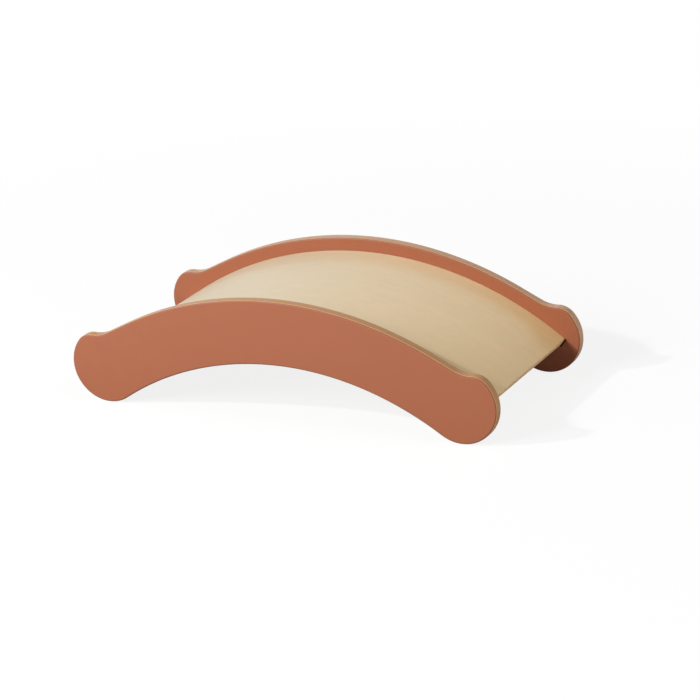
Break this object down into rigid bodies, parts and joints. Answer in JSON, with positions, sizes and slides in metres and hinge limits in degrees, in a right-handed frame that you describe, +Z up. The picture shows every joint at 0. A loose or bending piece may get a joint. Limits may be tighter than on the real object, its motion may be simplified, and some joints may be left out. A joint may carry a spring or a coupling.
{
  "type": "balance board",
  "caption": "Low arched children's balance board: a curved plywood deck set down between laminate-faced plywood rails, to climb over as a bridge or turn over and rock on.",
  "frame": {"origin": "on the floor plane, under the crown of the arch and midway between the rails", "axes": "+X along the board's length, +Y across its width, +Z up when the board stands as an arch on its four feet"},
  "size_m": [0.687, 0.311, 0.183],
  "materials": {
    "rail_plywood": "sanded and clear-lacquered plywood edge, plies showing, satin",
    "rail_laminate": "terracotta laminate, smooth matt",
    "deck_plies": "sanded and clear-lacquered edge of pressed plies, satin",
    "deck_veneer": "pale fine-grained veneer under clear satin lacquer",
    "dowel_beech": "raw fluted beech"
  },
  "bodies": {
    "root": {"rail_core_near": "rail_plywood", "rail_core_far": "rail_plywood", "rail_outer_laminate_near": "rail_laminate", "rail_outer_laminate_far": "rail_laminate", "rail_inner_laminate_near": "rail_laminate", "rail_inner_laminate_far": "rail_laminate", "deck_core": "deck_plies", "deck_top_face_ply": "deck_veneer", "deck_under_face_ply": "deck_veneer", "dowel_near_1": "dowel_beech", "dowel_near_2": "dowel_beech", "dowel_near_3": "dowel_beech", "dowel_near_4": "dowel_beech", "dowel_near_5": "dowel_beech", "dowel_near_6": "dowel_beech", "dowel_far_1": "dowel_beech", "dowel_far_2": "dowel_beech", "dowel_far_3": "dowel_beech", "dowel_far_4": "dowel_beech", "dowel_far_5": "dowel_beech", "dowel_far_6": "dowel_beech"}
  },
  "joints": []
}
